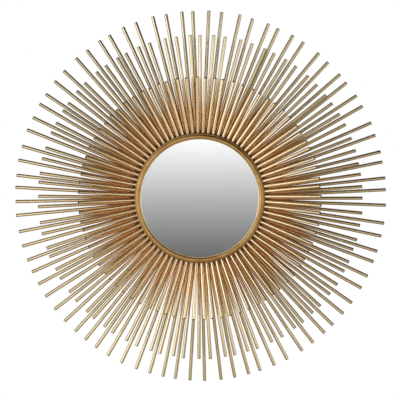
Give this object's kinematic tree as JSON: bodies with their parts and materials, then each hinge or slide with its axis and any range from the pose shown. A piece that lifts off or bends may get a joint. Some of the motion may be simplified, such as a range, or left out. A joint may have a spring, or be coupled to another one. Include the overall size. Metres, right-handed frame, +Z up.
{
  "type": "sunburst wall mirror",
  "caption": "Round wall mirror in a rounded aged-gold ring, with three rows of thin open-ended metal tubes fanning out like sun rays, the front row leaning forward.",
  "frame": {"origin": "middle of the hub board's flat back, which lies on the wall", "axes": "-Y is the way the mirror faces, +Y points into the wall, +X is to the right as one looks at the mirror, +Z is up"},
  "size_m": [0.9997, 0.075, 1.0009],
  "materials": {
    "silvered_glass": "clear silvered float glass, polished and flat",
    "ring_gold": "satin aged-gold lacquer on steel",
    "tube_gold": "champagne to copper gold leaf lacquer on steel tube, satin with brighter highlights",
    "board": "dark-stained fibreboard, matt",
    "zinc_steel": "zinc-plated steel, slightly dull"
  },
  "bodies": {
    "root": {"mirror_glass": "silvered_glass", "ring_frame": "ring_gold", "short_rods_1": "tube_gold", "short_rods_2": "tube_gold", "short_rods_3": "tube_gold", "short_rods_4": "tube_gold", "short_rods_5": "tube_gold", "short_rods_6": "tube_gold", "short_rods_7": "tube_gold", "short_rods_8": "tube_gold", "short_rods_9": "tube_gold", "short_rods_10": "tube_gold", "short_rods_11": "tube_gold", "short_rods_12": "tube_gold", "short_rods_13": "tube_gold", "short_rods_14": "tube_gold", "short_rods_15": "tube_gold", "short_rods_16": "tube_gold", "short_rods_17": "tube_gold", "short_rods_18": "tube_gold", "short_rods_19": "tube_gold", "short_rods_20": "tube_gold", "medium_rods_1": "tube_gold", "medium_rods_2": "tube_gold", "medium_rods_3": "tube_gold", "medium_rods_4": "tube_gold", "medium_rods_5": "tube_gold", "medium_rods_6": "tube_gold", "medium_rods_7": "tube_gold", "medium_rods_8": "tube_gold", "long_rods_1": "tube_gold", "long_rods_2": "tube_gold", "long_rods_3": "tube_gold", "long_rods_4": "tube_gold", "long_rods_5": "tube_gold", "long_rods_6": "tube_gold", "long_rods_7": "tube_gold", "long_rods_8": "tube_gold", "hub_board": "board", "hanger_plate": "zinc_steel", "hanger_screw_left": "zinc_steel", "hanger_screw_right": "zinc_steel", "hub_screw_1": "zinc_steel", "hub_screw_2": "zinc_steel", "hub_screw_3": "zinc_steel", "hub_screw_4": "zinc_steel"}
  },
  "joints": []
}
